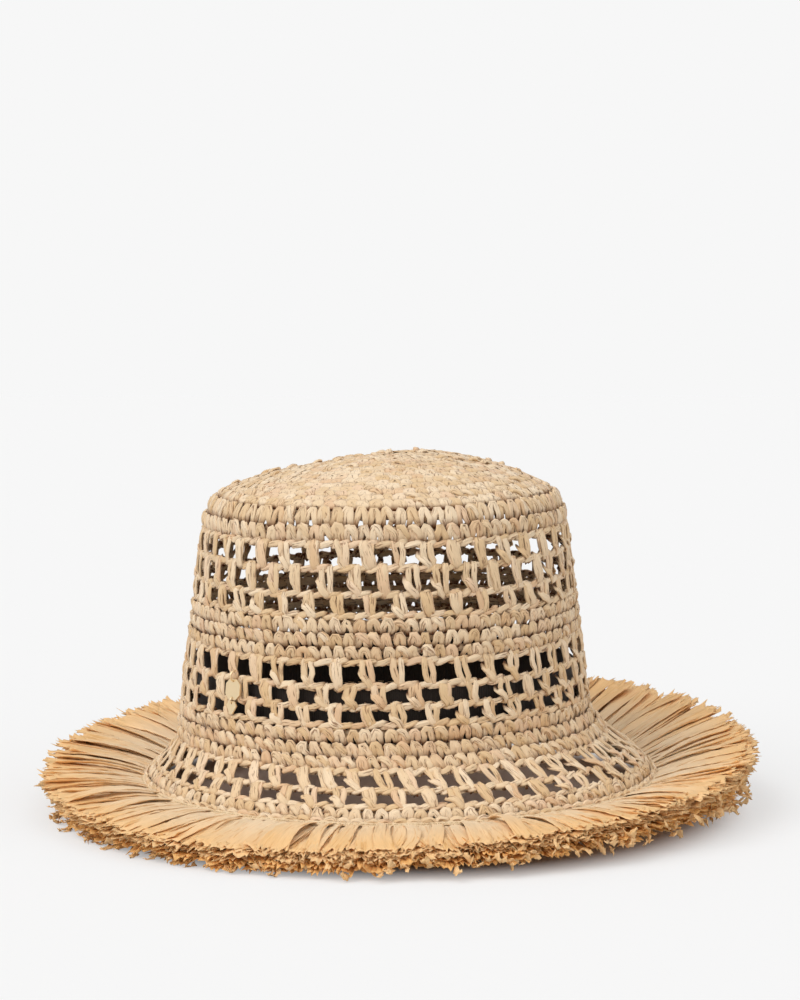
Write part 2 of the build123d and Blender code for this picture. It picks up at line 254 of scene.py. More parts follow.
def studio_floor(settings):
    """Matt white paper on a light table, so that only a faint shadow shows round the hat, while the
    light under the hat, up to the fringe's edge, is warm from the straw it came through."""
    material, tree = new_material("white_paper_matt")
    coordinates = add(tree, "ShaderNodeTexCoord")
    away = add(tree, "ShaderNodeVectorMath", {"operation": "LENGTH"}, n0=coordinates.outputs["Object"])
    outside = add(tree, "ShaderNodeMapRange", SMOOTH, Value=away.outputs["Value"],
                  From_Min=135 * MM, From_Max=168 * MM)
    grain = add(tree, "ShaderNodeTexNoise", Vector=coordinates.outputs["Object"], Scale=40.0)
    warm = add(tree, "ShaderNodeMix", COLOUR_MIX, n0=grain.outputs[0],
               n6=linear("#E6CBBC"), n7=linear("#EAD2C4"))
    shown = add(tree, "ShaderNodeMix", COLOUR_MIX, n0=outside.outputs[0],
                n6=warm.outputs[2], n7=settings.paper[:])
    seen = add(tree, "ShaderNodeLightPath")
    bounced = add(tree, "ShaderNodeMix", COLOUR_MIX, n0=seen.outputs["Is Camera Ray"],
                  n6=linear("#D8D8D8"), n7=shown.outputs[2])
    paper = add(tree, "ShaderNodeBsdfDiffuse", Color=bounced.outputs[2], Roughness=0.0)
    glow = add(tree, "ShaderNodeEmission", Color=linear("#F7F7F7"), Strength=1.0)
    lit = add(tree, "ShaderNodeMath", {"operation": "MULTIPLY"}, n0=seen.outputs["Is Camera Ray"],
              n1=outside.outputs[0])
    share = add(tree, "ShaderNodeMath", {"operation": "MULTIPLY"}, n0=lit.outputs[0], n1=0.55)
    shader = add(tree, "ShaderNodeMixShader", n0=share.outputs[0], n1=paper.outputs[0], n2=glow.outputs[0])
    add(tree, "ShaderNodeOutputMaterial", Surface=shader.outputs[0])
    return material


# ---- the hat's surface ------------------------------------------------------------------------
def wall_outline():
    """The crochet's outer outline from the frame: distance down from the middle of the crown, and
    there the radius, height, middle, and the outward direction's two parts. Last, each round's end."""
    low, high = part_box(ROUNDS[0])
    shares = np.linspace(0, 1, 24)
    radius = list((high[0] - low[0]) / 2 * shares)
    height = list(high[2] - (high[2] - low[2]) * shares**TIP_POWER)
    middle = [(high[0] + low[0]) / 2] * len(shares)
    for node in ROUNDS[1:]:
        low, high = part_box(node)
        radius.append((high[0] - low[0]) / 2)
        height.append(low[2])
        middle.append((high[0] + low[0]) / 2)
    down = np.concatenate([[0], np.cumsum(np.hypot(np.diff(radius), np.diff(height)))])
    ends = down[len(shares) - 1:]
    step = 0.5 * MM
    margin = 8 * MM
    at = np.arange(0, down[-1] + margin, step)
    over = down[-1] + margin
    slope = (over - down[-1]) / (down[-1] - down[-2])
    for values in (radius, height, middle):
        values.append(values[-1] + (values[-1] - values[-2]) * slope)
    down = np.append(down, over)
    soften = 2.2 * MM
    reach = 10
    bell = np.exp(-0.5 * (np.arange(-reach, reach + 1) * step / soften) ** 2)
    bell /= bell.sum()

    def smoothed(values, sign):
        line = np.interp(at, down, values)
        before = sign * line[1:reach + 1][::-1] + (1 - sign) * line[0]
        after = line[-1] + (line[-1] - line[-2]) * np.arange(1, reach + 1)
        return np.convolve(np.concatenate([before, line, after]), bell, "valid")

    radius, height, middle = smoothed(radius, -1), smoothed(height, 1), smoothed(middle, 1)
    out_r, out_z = -np.gradient(height), np.gradient(radius)
    size = np.hypot(out_r, out_z)
    return at, radius, height, middle, out_r / size, out_z / size, ends


AT, RADIUS, HEIGHT, MIDDLE, OUT_R, OUT_Z, ENDS = wall_outline()


def handmade(turn, points):
    """The unevenness of handwork: the hat leans a little to one side, the crown's top has sunk a
    little on the other, and no round is quite circular."""
    x, y, z = points[..., 0], points[..., 1], points[..., 2]
    high = np.clip((z - 16 * MM) / (54 * MM), 0.0, 1.0)
    off_floor = np.clip(z / (14 * MM), 0.0, 1.0)
    lean = (0.0105 + 0.0105 * high) * (x - MIDDLE[0]) * off_floor
    off = high * (0.35 * MM * (1 + np.sin(3 * turn + 45 * z + 1.0)) + 0.25 * MM * np.sin(7 * turn - 60 * z))
    wave = high * (0.4 * MM * np.sin(2 * turn + 0.6) + 0.25 * MM * np.sin(5 * turn + 30 * z))
    on_top = np.clip((z - 146 * MM) / (12 * MM), 0.0, 1.0)
    sunk = 3.0 * MM * on_top * np.exp(-(((x + 38 * MM) / (30 * MM)) ** 2))
    return np.stack([x + off * np.cos(turn), y + off * np.sin(turn), z + lean + wave - sunk], -1)


def on_hat(turn, down, lift):
    """Points at an angle round the crown, a distance down its outline, and lifted off its surface."""
    r = np.interp(down, AT, RADIUS) + np.interp(down, AT, OUT_R) * lift
    z = np.interp(down, AT, HEIGHT) + np.interp(down, AT, OUT_Z) * lift
    x = np.interp(down, AT, MIDDLE) + r * np.cos(turn)
    return handmade(turn, np.stack([x, r * np.sin(turn), z], -1))


# ---- meshes -----------------------------------------------------------------------------------
def unit(vectors):
    return vectors / np.maximum(np.linalg.norm(vectors, axis=-1, keepdims=True), 1e-12)


def smooth_weights(controls, samples):
    """Weights, samples by controls, of a smooth curve through its control points."""
    weights = np.zeros((samples, controls))
    for row, t in enumerate(np.linspace(0, controls - 1, samples)):
        i = min(int(t), controls - 2)
        f = t - i
        four = (-f + 2 * f**2 - f**3, 2 - 5 * f**2 + 3 * f**3, f + 4 * f**2 - 3 * f**3, f**3 - f**2)
        for step, weight in zip((-1, 0, 1, 2), four):
            weights[row, min(max(i + step, 0), controls - 1)] += weight / 2
    return weights


def grid_object(name, points, fibre, tones, closed=True, ring=False):
    """An object of n grids of k rows by m points. closed joins each row's ends and caps the first and
    last rows, unless ring joins those. fibre is each point's place on the strand in mm. tones is two
    numbers a strand, of which the second also carries how far along the strand a point is."""
    n, k, m, _ = points.shape
    index = np.arange(n * k * m).reshape(n, k, m)
    rows = np.arange(k if ring else k - 1)
    columns = np.arange(m if closed else m - 1)
    a, b = np.meshgrid(rows, columns, indexing="ij")
    a2, b2 = (a + 1) % k, (b + 1) % m
    corners = np.stack([index[:, a, b], index[:, a2, b], index[:, a2, b2], index[:, a, b2]], -1)
    quads = corners.reshape(-1)
    maps = np.stack([fibre[:, a, b], fibre[:, a + 1, b], fibre[:, a + 1, b + 1], fibre[:, a, b + 1]], 3)
    places = maps.reshape(-1, 2)
    strand = np.repeat(tones, corners[0].size, axis=0)
    row_share = np.stack([a, a + 1, a + 1, a], -1).reshape(-1) / (k - 1)
    strand[:, 1] = np.floor(strand[:, 1] * TONE_STEPS) + np.tile(row_share, n) * 0.98
    counts = np.full(quads.size // 4, 4)
    if closed and not ring:
        ends = np.stack([index[:, 0, :], index[:, -1, ::-1]], 1).reshape(-1)
        quads = np.concatenate([quads, ends])
        end_places = np.stack([fibre[:, 0, :m], fibre[:, k - 1, :m][:, ::-1]], 1).reshape(-1, 2)
        places = np.concatenate([places, end_places])
        cap_tones = np.repeat(tones, 2 * m, axis=0)
        cap_tones[:, 1] = np.floor(cap_tones[:, 1] * TONE_STEPS)
        strand = np.concatenate([strand, cap_tones])
        counts = np.concatenate([counts, np.full(2 * n, m)])
    mesh = bpy.data.meshes.new(name)
    mesh.vertices.add(n * k * m)
    mesh.vertices.foreach_set("co", points.astype(np.float32).ravel())
    mesh.loops.add(len(quads))
    mesh.loops.foreach_set("vertex_index", quads.astype(np.int32))
    mesh.polygons.add(len(counts))
    starts = np.concatenate([[0], np.cumsum(counts)[:-1]]).astype(np.int32)
    mesh.polygons.foreach_set("loop_start", starts)
    mesh.polygons.foreach_set("use_smooth", np.ones(len(counts), bool))
    for layer, values in (("fibre", places), ("strand", strand)):
        mesh.uv_layers.new(name=layer).uv.foreach_set("vector", values.astype(np.float32).ravel())
    mesh.update(calc_edges=True)
    piece = bpy.data.objects.new(name, mesh)
    bpy.context.scene.collection.objects.link(piece)
    return piece


def strand_grid(centres, outs, half_widths, half_thicknesses, random, around=12, pleats=0.0):
    """Closed strands: (points, fibre, tones) for grid_object. centres and outs are n by k by 3, around
    is the points in a section, and pleats is how deeply it is creased."""
    n, k, _ = centres.shape
    along = unit(np.gradient(centres, axis=1))
    side = unit(np.cross(along, outs))
    out = np.cross(side, along)
    angle = np.arange(around) * 2 * math.pi / around
    crease = random.uniform(-0.6, 0.6, (n, 1, 1))
    crease = crease + random.uniform(-0.5, 0.5, (n, 1, 1)) * np.linspace(-1, 1, k)[:, None]
    flat = np.sign(np.cos(angle)) * np.abs(np.cos(angle)) ** 0.8
    groove = 1 - 1.1 * pleats * np.exp(-(((flat - crease) / 0.3) ** 2))
    folds = 1 + pleats * random.uniform(-0.6, 0.6, (n, 1, around))
    folds = folds + 0.25 * pleats * random.normal(0, 1, (n, k, around))
    across = half_widths[..., None] * flat * (1 + 0.15 * pleats * random.normal(0, 1, (n, k, around)))
    up = half_thicknesses[..., None] * np.sin(angle) * folds * groove
    points = centres[:, :, None] + side[:, :, None] * across[..., None] + out[:, :, None] * up[..., None]
    length = np.linalg.norm(np.diff(centres, axis=1), axis=-1)
    travelled = np.concatenate([np.zeros((n, 1)), np.cumsum(length, axis=1)], 1) / MM
    start = random.uniform(0, 500, (n, 1, 1))
    round_it = np.arange(around + 1) / around * 2 * math.pi * half_widths.mean() / MM
    u = np.broadcast_to(round_it, (n, k, around + 1)) + start
    v = np.broadcast_to(travelled[..., None], (n, k, around + 1)) + start
    return points, np.stack([u, v], -1), random.uniform(0, 1, (n, 2))


def joined(grids):
    """Several (points, fibre, tones) with the same rows and columns as one."""
    return [np.concatenate(parts) for parts in zip(*grids)]


def stitches(shape, centres, top, height, random, wide, thick, loose=0.2, taper=0.55):
    """Strands of one shape, at each of the centre angles of a round. top is the round's distance down
    the outline, wide and thick are half a strand's width and thickness, and loose is how far its
    control points stray, all in mm. taper is the share of the width that is left at its ends."""
    n, samples = len(centres), 10
    control = np.broadcast_to(np.array(shape, float), (n, len(shape), 3)).copy()
    control[..., 1] *= height
    control += random.normal(0, loose, control.shape) * np.array([1, 1, 0.6])
    control += random.normal(0, loose, (n, 1, 3)) * np.array([1, 0.6, 0.4])
    curve = np.einsum("sc,ncx->nsx", smooth_weights(len(shape), samples), control) * MM
    radius = max(np.interp(top * MM + height * MM / 2, AT, RADIUS), 2 * MM)
    turn = np.asarray(centres)[:, None] + curve[..., 0] / radius
    down = np.clip(top * MM + curve[..., 1], 0, AT[-1])
    lift = curve[..., 2]
    points = on_hat(turn, down, lift)
    outs = unit(on_hat(turn, down, lift + 0.5 * MM) - points)
    share = np.linspace(0, 1, samples)
    ends = taper + (1 - taper) * np.sin(math.pi * share) ** 0.5
    size = random.uniform(0.88, 1.12, (n, 1)) * ends
    swell = 1 + random.normal(0, 0.05, (n, samples))
    return strand_grid(points, outs, wide * MM * size * swell, thick * MM * size, random, pleats=0.5)


def finish_piece(piece, node_slot, material, *nodes):
    """Gives a piece of the hat its material and hides the nodes it replaces; its record slot, node_slot, is
    not used.
    """
    piece.data.materials.append(material)
    if nodes:
        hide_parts(*nodes)
    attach(piece, "hat")


def centres_of(count, first=0.0):
    """Evenly spaced angles round the hat."""
    return first + np.arange(count) * 2 * math.pi / count


def thicken(piece, thickness):
    """Gives a sheet its real thickness."""
    solid = piece.modifiers.new("thickness", "SOLIDIFY")
    solid.thickness = thickness
    solid.offset = 0.0
    return piece


def band(name, points, radius, across, thickness):
    """A closed band of cloth. points go round it by across it, radius is what its length comes from,
    and across is each column's place over its width."""
    along = np.append(centres_of(len(points)), 2 * math.pi) * radius / MM
    fibre = np.stack(np.meshgrid(along, across / MM, indexing="ij"), -1)[None]
    piece = grid_object(name, points[None], fibre, np.zeros((1, 2)), closed=False, ring=True)
    return thicken(piece, thickness)


def sew(name, path, outs, half_width, random, thread, node):
    """Single stitches of thread along paths, n by k by 3, with outs pointing off the cloth."""
    half = np.full(path.shape[:2], half_width)
    grid = strand_grid(path, np.broadcast_to(outs, path.shape), half, half, random, around=6)
    finish_piece(grid_object(name, *grid), "thread", thread, node)


def shared_material(name, make, *needs):
    """The material of that name, made the first time it is wanted."""
    return bpy.data.materials.get(name) or make(*needs)


# ---- crochet ----------------------------------------------------------------------------------
TIP_GAUGE = 5.2             # mm from round to round, and from stitch to stitch, in the crown's top
SHAPE_PITCH = 6.0           # mm from stitch to stitch, as the arches and links are drawn
CHAIN_HEIGHT = 2.7          # mm from top to bottom of the chain along a round's foot
SCALLOPS = 124              # small loops along the edge of the brim
# Each shape runs along one strand: mm to the right, share of the round's height down, mm outwards.
ARCH = [(-1.55, 1.2, -2.0), (-1.55, 0.95, -0.9), (-1.35, 0.6, 0.1), (-0.95, 0.3, 0.55), (0.2, 0.16, 0.75),
        (1.25, 0.34, 0.6), (1.75, 0.68, 0.1), (2.2, 0.95, -0.7), (2.3, 1.2, -1.9)]
CROSSING = [(-2.8, 0.5, -0.8), (-1.5, 0.2, 0.6), (0.4, 0.3, 1.0), (1.9, 0.62, 0.6), (3.0, 0.95, -1.1)]
BACKING = [(-4.2, 0.5, -2.3), (-1.6, 0.36, -2.5), (1.6, 0.36, -2.5), (4.2, 0.3, -2.3)]
SCALLOP = [(-3.0, 1.2, -0.1), (-2.4, 0.5, 1.2), (-0.9, 0.1, 1.7), (0.9, 0.1, 1.7), (2.4, 0.5, 1.2),
           (3.0, 1.2, -0.1)]
LEFT_FINGER = [(-1.9, -0.16, -2.4), (-2.0, -0.24, -0.7), (-2.1, -0.08, 0.25), (-1.9, 0.3, 0.25),
               (-0.8, 0.62, -0.1), (0.9, 0.9, -0.7), (1.5, 1.02, -1.8)]
RIGHT_FINGER = [(1.0, -0.16, -2.4), (1.0, -0.24, -0.7), (1.1, -0.08, 0.4), (1.4, 0.3, 0.45),
                (1.6, 0.62, 0.2), (1.8, 0.88, -0.5), (1.9, 1.04, -1.8)]
WRAP = [(-2.5, 0.15, -2.2), (-3.3, 0.32, -0.8), (-2.6, 0.46, 0.6), (-1.1, 0.6, 1.05), (0.5, 0.78, 0.7),
        (1.8, 0.94, -0.1), (2.4, 1.04, -1.7)]
LEAF = [(-1.0, -0.16, -2.4), (-1.1, -0.24, -0.5), (-1.0, -0.06, 0.7), (-0.4, 0.3, 0.9), (0.5, 0.65, 0.7),
        (1.4, 0.92, -0.1), (1.8, 1.04, -1.7)]
BAR_LINK = [(-4.6, 0.2, -1.6), (-2.8, 0.3, -0.7), (0.0, 0.05, -0.3), (2.6, -0.25, -0.5), (4.6, -0.35, -1.6)]
BAR_UNDER = [(-4.2, -0.2, -1.9), (-2.0, 0.0, -1.8), (1.8, 0.3, -1.6), (4.0, 0.4, -1.6)]


def round_span(index):
    """(top, height) of a round in mm down the outline, with 0 for the crown's tip."""
    top = ENDS[index - 1] if index else 0.0
    return top / MM, (ENDS[index] - top) / MM


def solid_round(top, height, random, first, wide=1.66, thick=0.8, gauge=5.6, crossings=0.35, relief=0.6,
                loose=0.36):
    """One round of plain stitches: arches, a few crossing strands, and the backing inside. gauge is mm
    from stitch to stitch, and relief how far the arches stand off the wall."""
    radius = np.interp((top + height / 2) * MM, AT, RADIUS) / MM
    count = max(int(round(2 * math.pi * radius / gauge)), 5)
    centres = centres_of(count, first)
    scale = 2 * math.pi * radius / count / SHAPE_PITCH
    arch = [(u * scale, v, w * relief if w > 0 else w) for u, v, w in ARCH]
    parts = [stitches(arch, centres, top, height, random, wide * scale, thick, loose=loose)]
    some = centres[random.uniform(0, 1, count) < crossings]
    if len(some):
        parts.append(stitches(CROSSING, some, top, height, random, 1.35, 0.8))
    parts.append(stitches(BACKING, centres, top, height, random, 0.3 * height, 0.6, loose=0.1))
    return joined(parts)


def foot_chain(top, height, count, first, random):
    """The twisted chain along a round's foot: two links to each post, and a strand behind them."""
    chain_top = top + height - CHAIN_HEIGHT / 2
    centres = centres_of(2 * count, first)
    radius = np.interp(chain_top * MM, AT, RADIUS) / MM
    scale = 2 * math.pi * radius / (2 * count) / SHAPE_PITCH
    link = [(u * scale, v, w) for u, v, w in BAR_LINK]
    under = [(u * scale, v, w) for u, v, w in BAR_UNDER]
    front = stitches(link, centres, chain_top, CHAIN_HEIGHT, random, 1.35, 1.0, loose=0.22, taper=0.4)
    behind = centres + math.pi / count / 2
    back = stitches(under, behind, chain_top, CHAIN_HEIGHT, random, 1.0, 0.8, loose=0.18)
    return joined([front, back])


def openwork_round(index, count, shifted, random):
    """Posts that hang from the chain above, and the chain along their own feet."""
    top, height = round_span(index)
    first = math.pi / count if shifted else 0.0
    centres = centres_of(count, first) + random.normal(0, 0.008, count)
    parts = [foot_chain(top, height, count, first + math.pi / count / 2, random)]
    parts.append(stitches(LEFT_FINGER, centres, top, height, random, 1.45, 0.7, taper=0.6, loose=0.35))
    parts.append(stitches(RIGHT_FINGER, centres, top, height, random, 1.4, 0.7, taper=0.6, loose=0.35))
    kind = random.uniform(0, 1, count)
    parts.append(stitches(WRAP, centres[kind < 0.55], top, height, random, 1.55, 0.6, taper=0.5, loose=0.35))
    parts.append(stitches(LEAF, centres[kind > 0.75], top, height, random, 2.3, 0.65, taper=0.55, loose=0.35))
    return joined(parts)


class SUNHAT_OT_crown_tip(bpy.types.Operator):
    """Crochets the flat spiral at the top of the crown"""
    bl_idname = "sunhat.crown_tip"
    bl_label = "Crown Tip"

    def execute(self, context):
        settings = context.scene.sun_hat
        material = shared_material("paper_raffia_crocheted", paper_raffia, settings)
        random = np.random.default_rng(SEEDS["crown_tip"])
        span = ENDS[0] / MM
        rounds = int(round(span / TIP_GAUGE))
        height = span / rounds
        grids = []
        for i in range(rounds):
            grids.append(solid_round(i * height, height, random, i * 0.37, wide=2.45, thick=0.36,
                                     gauge=TIP_GAUGE, crossings=0.08, relief=0.2, loose=0.22))
        cuts = (0, int(0.55 * rounds), int(0.8 * rounds), rounds)
        for i, name in enumerate(("crown_tip_middle", "crown_tip_outer", "crown_tip_edge")):
            piece = grid_object(name, *joined(grids[cuts[i]:cuts[i + 1]]))
            nodes = ["crown_tip"] if i == 0 else []
            finish_piece(piece, "crocheted_raffia", material, *nodes)
        return {"FINISHED"}


class SUNHAT_OT_rounds(bpy.types.Operator):
    """Crochets every round from the shoulder to the edge of the brim"""
    bl_idname = "sunhat.rounds"
    bl_label = "Crochet Rounds"

    def execute(self, context):
        settings = context.scene.sun_hat
        material = shared_material("paper_raffia_crocheted", paper_raffia, settings)
        for index, node in enumerate(ROUNDS):
            if index == 0:
                continue
            random = np.random.default_rng(SEEDS["rounds"] + index)
            top, height = round_span(index)
            before_openwork = index + 1 < len(ROUNDS) and "mesh" in ROUNDS[index + 1]
            if "mesh" in node:
                count = settings.brim_posts if node.startswith("brim") else settings.crown_posts
                grid = openwork_round(index, count, node.endswith("mesh_round_2"), random)
            elif before_openwork:
                next_count = settings.brim_posts if node.startswith("base") else settings.crown_posts
                above_chain = height - 2.4
                plain = solid_round(top, above_chain, random, index * 0.4)
                grid = joined([plain, foot_chain(top, height, next_count, 0.0, random)])
            else:
                grid = solid_round(top, height, random, index * 0.4)
            if node == HEM:
                scallops = centres_of(SCALLOPS)
                edge = stitches(SCALLOP, scallops, top + height + 0.2, 2.0, random, 1.05, 0.7, loose=0.15)
                grid = joined([grid, edge])
            piece = grid_object(node + "_stitches", *grid)
            finish_piece(piece, "crocheted_raffia", material, node)
        return {"FINISHED"}


# ---- fringe -----------------------------------------------------------------------------------
RIBBON_WIDTHS = (6.0, 11.5)     # mm, narrowest and widest where they fan out
RIBBON_THICKNESS = 0.12 * MM
FLAKE_THICKNESS = 0.1 * MM
ROOT_STACK = 4.0                # mm from the lowest layer's roots to the highest's


def tape_edges():
    """(inner radius, its height, outer radius, its height) of the top of the fringe's tape."""
    low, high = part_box("fringe_tape")
    under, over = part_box("fringe_seam_inner"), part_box("fringe_seam_outer")
    outer = high[0]
    slope = (under[1][2] - over[1][2]) / (over[1][0] - under[1][0])
    inner = outer - (high[2] - low[2]) / max(slope, 0.3) * 0.75
    return inner, high[2], outer, high[2] - (outer - inner) * slope


def tip_heights(turn):
    """(lowest, highest) height of the ribbons' ends at an angle: they lie on the floor in front and
    fan out further and further towards the back, where they curl up."""
    towards_back = (1 + np.cos(turn - math.radians(72))) / 2
    lowest = 0.7 * MM + 7.5 * MM * np.clip(np.cos(turn + 0.75), 0, 1) ** 2 + 7.0 * MM * towards_back**3
    highest = 11.0 * MM + 27.5 * MM * towards_back**0.85
    return lowest, highest


def tip_reach(turn, level):
    """How far out the ribbons' ends come, as a share of the fringe's radius. level is 0 for the lowest
    ribbons and 1 for the highest. They reach furthest at the front left, and end in uneven tufts."""
    front = np.clip(-np.sin(turn), 0, 1) ** 3
    front_left = np.clip(np.cos(turn + 2.25), 0, 1) ** 6
    tufts = np.sin(49 * turn + 2.5 * np.sin(5 * turn)) * (0.4 + 0.6 * np.sin(17 * turn + 1) ** 2)
    return 0.955 + 0.02 * front + 0.025 * front_left + (0.058 - 0.08 * front) * level + 0.015 * tufts


def ribbon_grid(roots, reach, tip_height, root_height, random, width):
    """Open pleated ribbons, bunched where they are sewn and fanned out and crumpled at the ends. Each
    has an angle in roots, and one number in each of reach, tip_height, root_height and width."""
    n, rows, columns = len(roots), 15, 9
    sway = 0.022
    t = np.linspace(0, 1, rows)[None, :, None]
    j = np.linspace(-1, 1, columns)[None, None, :]
    fray = random.uniform(0.0, 0.09, (n, 1, columns))
    t_col = t * (1 - fray)
    root_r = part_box("fringe_tape")[1][0] - 5.0 * MM
    length = reach[:, None, None] - root_r
    end = np.clip((t_col - 0.8) / 0.2, 0, 1)
    middle = roots[:, None, None] + random.normal(0, sway, (n, 1, 1)) * t_col
    middle = middle + random.normal(0, sway * 0.5, (n, 1, 1)) * np.sin(math.pi * t_col)
    flare = 0.36 + 0.64 * t_col**0.8
    across = j * width[:, None, None] / 2 * flare
    r = root_r + length * t_col + random.normal(0, 0.5, (n, rows, columns)) * MM * end
    turn = middle + across / r
    rise = np.abs(random.normal(1.2, 1.2, (n, 1, 1))) * MM * np.sin(math.pi * t_col**0.8)
    drop = tip_height - root_height
    z = root_height[:, None, None] + drop[:, None, None] * t_col**1.15 + rise
    sign = np.where(np.arange(columns) % 2 == 0, 1.0, -1.0)
    fold = sign * random.uniform(0.1, 1.0, (n, 1, columns)) + 0.25 * random.normal(0, 1, (n, rows, columns))
    z = z + fold * 0.6 * MM * (0.4 + 0.6 * np.sin(math.pi * np.clip(t_col, 0, 0.75)))
    z = z + random.normal(0, 0.55, (n, rows, columns)) * MM * end
    z = z + across * np.tan(random.normal(0, 0.15, (n, 1, 1))) * t_col**0.5
    points = np.stack([r * np.cos(turn), r * np.sin(turn), np.maximum(z, 0.3 * MM)], -1)
    u = across / MM + random.uniform(0, 300, (n, 1, 1))
    along = RIBBON_LENGTH * np.broadcast_to(t_col, u.shape)
    return handmade(turn, points), np.stack([u, along], -1), random.uniform(0, 1, (n, 2))


def flake_grid(turns, reach, random):
    """Small crumpled flakes of ribbon among the fringe's ends."""
    n, rows, columns = len(turns), 6, 4
    t = np.linspace(0, 1, rows)[None, :, None]
    j = np.linspace(-1, 1, columns)[None, None, :]
    length = random.uniform(3, 6, (n, 1, 1)) * MM
    heading = random.normal(0, 0.6, (n, 1, 1))
    curl = random.uniform(0.6, 2.0, (n, 1, 1)) * random.choice([-1, 1], (n, 1, 1))
    r = reach[:, None, None] + length * t * np.cos(heading)
    side = length * t * np.sin(heading)
    low, high = tip_heights(turns)
    base = low + random.uniform(0, 1, n) ** 1.3 * (high - low) * 0.8
    z = base[:, None, None] + length * 0.3 * np.sin(curl * t * 2)
    width = random.uniform(1.6, 3.6, (n, 1, 1)) * MM
    roll = random.uniform(-1.2, 1.2, (n, 1, 1)) + curl * t * 0.5
    shape = (n, rows, columns)
    turn = turns[:, None, None] + (side + j * width / 2 * np.cos(roll)) / r
    turn = turn + random.normal(0, 0.3, shape) * MM / r
    z = z + j * width / 2 * np.sin(roll) + random.normal(0, 0.35, shape) * MM
    r = r + random.normal(0, 0.3, shape) * MM
    points = np.stack([r * np.cos(turn), r * np.sin(turn), np.maximum(z, 0.3 * MM)], -1)
    u = np.broadcast_to(j * 2, shape) + random.uniform(0, 300, (n, 1, 1))
    along = RIBBON_LENGTH - 6 + 6 * np.broadcast_to(t, shape)
    return points, np.stack([u, along], -1), random.uniform(0, 1, (n, 2))


class SUNHAT_OT_fringe(bpy.types.Operator):
    """Lays the pleated ribbons of the fringe in layers"""
    bl_idname = "sunhat.fringe"
    bl_label = "Fringe"

    def execute(self, context):
        settings = context.scene.sun_hat
        pale = shared_material("raffia_ribbon_pleated", raffia_ribbon, settings, "raffia_ribbon_pleated",
                               settings.ribbon_root, settings.ribbon_tip)
        # The lowest layers get a more saturated copy of the ribbon material: painted golden glow for the
        # shade they lie in.
        deep = shared_material("raffia_ribbon_frayed", raffia_ribbon, settings, "raffia_ribbon_frayed",
                               settings.shaded_under_root, settings.shaded_under_tip)
        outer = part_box("fringe_top_layer")[1][0]
        root_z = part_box("fringe_tape")[0][2]
        layers = settings.fringe_layers
        for layer in range(layers):
            random = np.random.default_rng(SEEDS["fringe"] + layer)
            count = settings.ribbons_per_layer
            share = layer / (layers - 1)
            roots = centres_of(count, random.uniform(0, 1)) + random.normal(0, 0.008, count)
            low, high = tip_heights(roots)
            level = np.clip(share**0.6 + random.uniform(-0.9, 0.9, count) / (layers - 1), 0, 1)
            tips = low + (high - low) * level
            short = np.abs(random.normal(0, 0.02, count))
            reach = outer * (tip_reach(roots, level) - short)
            start = root_z + (0.2 - ROOT_STACK * (1 - share)) * MM + random.normal(0, 0.15, count) * MM
            width = random.uniform(*RIBBON_WIDTHS, count) * MM
            grid = ribbon_grid(roots, reach, tips, start, random, width)
            name = "fringe_ribbons_%d" % (layer + 1)
            piece = thicken(grid_object(name, *grid, closed=False), RIBBON_THICKNESS)
            nodes = {0: ["fringe_under_layer"], layers - 1: ["fringe_top_layer"]}.get(layer, [])
            finish_piece(piece, "raffia_ribbon", deep if share < 0.3 else pale, *nodes)
        random = np.random.default_rng(SEEDS["flakes"])
        count = settings.flakes
        turns = random.uniform(0, 2 * math.pi, count)
        reach = outer * random.uniform(0.94, 0.97, count)
        grid = flake_grid(turns, reach, random)
        piece = thicken(grid_object("fringe_flakes", *grid, closed=False), FLAKE_THICKNESS)
        finish_piece(piece, "raffia_ribbon", pale)
        return {"FINISHED"}


class SUNHAT_OT_tape(bpy.types.Operator):
    """Sews the fringe's tape over the edge of the brim with two rows of stitches"""
    bl_idname = "sunhat.tape"
    bl_label = "Fringe Tape"

    def execute(self, context):
        settings = context.scene.sun_hat
        tape = shared_material("cotton_tape_woven", woven_tape, settings)
        thread = shared_material("polyester_thread_spun", sewing_thread, settings)
        inner, inner_z, outer, outer_z = tape_edges()
        turns = centres_of(480)
        random = np.random.default_rng(SEEDS["tape"])
        share = np.linspace(0, 1, 6)
        t = turns[:, None]
        ripple = 0.12 * MM * np.sin(23 * t) + 0.1 * MM * np.sin(61 * t + 1)
        r = inner + (outer - inner) * share + ripple
        z = inner_z + (outer_z - inner_z) * share + 0.15 * MM * np.sin(37 * t + 3 * share)
        points = handmade(t, np.stack([r * np.cos(t), r * np.sin(t), z], -1))
        piece = band("fringe_tape_band", points, inner, share * (outer - inner), 0.5 * MM)
        finish_piece(piece, "tape", tape, "fringe_tape")
        for node, at in (("fringe_seam_inner", 0.2), ("fringe_seam_outer", 0.8)):
            radius = inner + (outer - inner) * at
            height = inner_z + (outer_z - inner_z) * at
            pitch = settings.stitch_length * 1.25
            count = int(2 * math.pi * radius / pitch)
            centres = centres_of(count)[:, None]
            run = np.linspace(-0.5, 0.5, 6) * settings.stitch_length / radius
            turn = centres + run
            dip = 0.35 * MM * np.linspace(-1, 1, 6) ** 4
            z = height + 0.42 * MM - dip + random.normal(0, 0.03 * MM, (count, 1))
            rr = np.broadcast_to(radius, turn.shape)
            path = np.stack([rr * np.cos(turn), rr * np.sin(turn), np.broadcast_to(z, turn.shape)], -1)
            sew(node + "_stitches", handmade(turn, path), [0.0, 0.0, 1.0], 0.24 * MM, random, thread, node)
        return {"FINISHED"}


